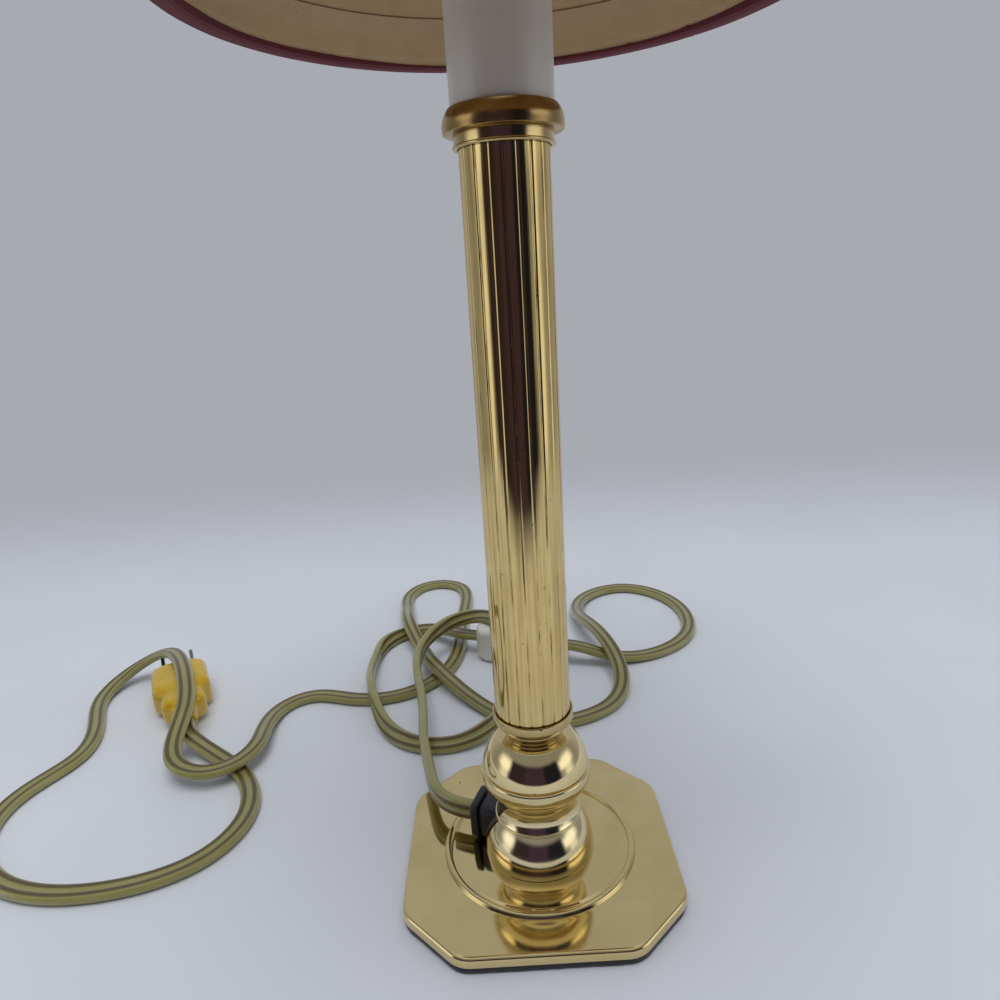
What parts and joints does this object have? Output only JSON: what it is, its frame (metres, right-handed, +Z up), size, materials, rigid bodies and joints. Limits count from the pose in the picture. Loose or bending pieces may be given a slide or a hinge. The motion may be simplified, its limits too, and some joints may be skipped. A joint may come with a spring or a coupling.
{
  "type": "candlestick lamp",
  "caption": "Small brass table lamp shaped like a candlestick: canted square base, turned stem, candle sleeve, clip-on conical fabric shade, flat cord with thumb-wheel switch and plug.",
  "frame": {"origin": "centre of the base on the table", "axes": "+Z up along the stem, -X towards the side where the cord leaves the foot, +Y to the back, where the switch lies"},
  "size_m": [0.287, 0.3041, 0.3522],
  "materials": {
    "brass": "polished",
    "inner_brass": "plain",
    "steel": "zinc plated",
    "frame_wire": "brass plated",
    "felt": "felt",
    "black_plastic": "satin",
    "candle_plastic": "satin",
    "phenolic": "moulded",
    "glass": "clear",
    "shade_cloth": "woven",
    "lining": "smooth",
    "cord": "translucent gold",
    "switch_plastic": "moulded",
    "plug_plastic": "translucent amber"
  },
  "bodies": {
    "lamp": {"felt_pad": "felt", "base_plate": "brass", "base_washer": "steel", "base_nut": "steel", "foot": "brass", "cord_bushing": "black_plastic", "ball": "brass", "column_cup": "brass", "lamp_pipe": "steel", "column": "brass", "collar_ring": "brass", "candle_ring": "brass", "ring_washer": "steel", "ring_nut": "steel", "socket_bracket": "steel", "bracket_nut": "steel", "socket_body": "phenolic", "socket_shell": "inner_brass", "socket_contact": "inner_brass", "socket_screws": "steel", "inner_leads": "cord", "cord_to_switch": "cord", "switch_base": "switch_plastic", "switch_lid": "switch_plastic", "switch_axle": "steel", "switch_contacts": "inner_brass", "switch_screws": "steel", "cord_to_plug": "cord", "plug_body": "plug_plastic", "plug_blades": "steel"},
    "candle": {"candle_sleeve": "candle_plastic"},
    "bulb_tip": {"bulb_contact": "steel"},
    "bulb": {"bulb_glass": "glass", "bulb_cap": "inner_brass", "bulb_filament": "steel"},
    "clip": {"clip_loops": "frame_wire"},
    "shade": {"clip_arms": "frame_wire", "shade_top_ring": "frame_wire", "shade_bottom_ring": "frame_wire", "shade_cover": "shade_cloth", "shade_lining": "lining", "shade_top_tape": "shade_cloth", "shade_bottom_tape": "shade_cloth"},
    "wheel": {"switch_wheel": "switch_plastic"}
  },
  "joints": [
    {"name": "switch_turn", "type": "hinge", "parent": "lamp", "child": "wheel", "pos_m": [0, 0.131, 0.0085], "axis": [0, 0, 1], "continuous": true},
    {"name": "candle_lift", "type": "slide", "parent": "lamp", "child": "candle", "axis": [0, 0, 1], "range_m": [0, 0.006]},
    {"name": "bulb_rise", "type": "slide", "parent": "lamp", "child": "bulb_tip", "axis": [0, 0, 1], "range_m": [0, 0.00762]},
    {"name": "bulb_screw", "type": "hinge", "parent": "bulb_tip", "child": "bulb", "pos_m": [0, 0, 0.2552], "axis": [0, 0, 1], "range_deg": [0, 1080]},
    {"name": "shade_turn", "type": "hinge", "parent": "bulb", "child": "clip", "pos_m": [0, 0, 0.3027], "axis": [0, 0, 1], "continuous": true},
    {"name": "shade_tilt", "type": "hinge", "parent": "clip", "child": "shade", "pos_m": [0, 0, 0.3027], "axis": [1, 0, 0], "range_deg": [-10, 10]}
  ],
  "couplings": [
    {"joint": "bulb_screw", "follows": "bulb_rise", "rad_per_m": 2473.7}
  ]
}
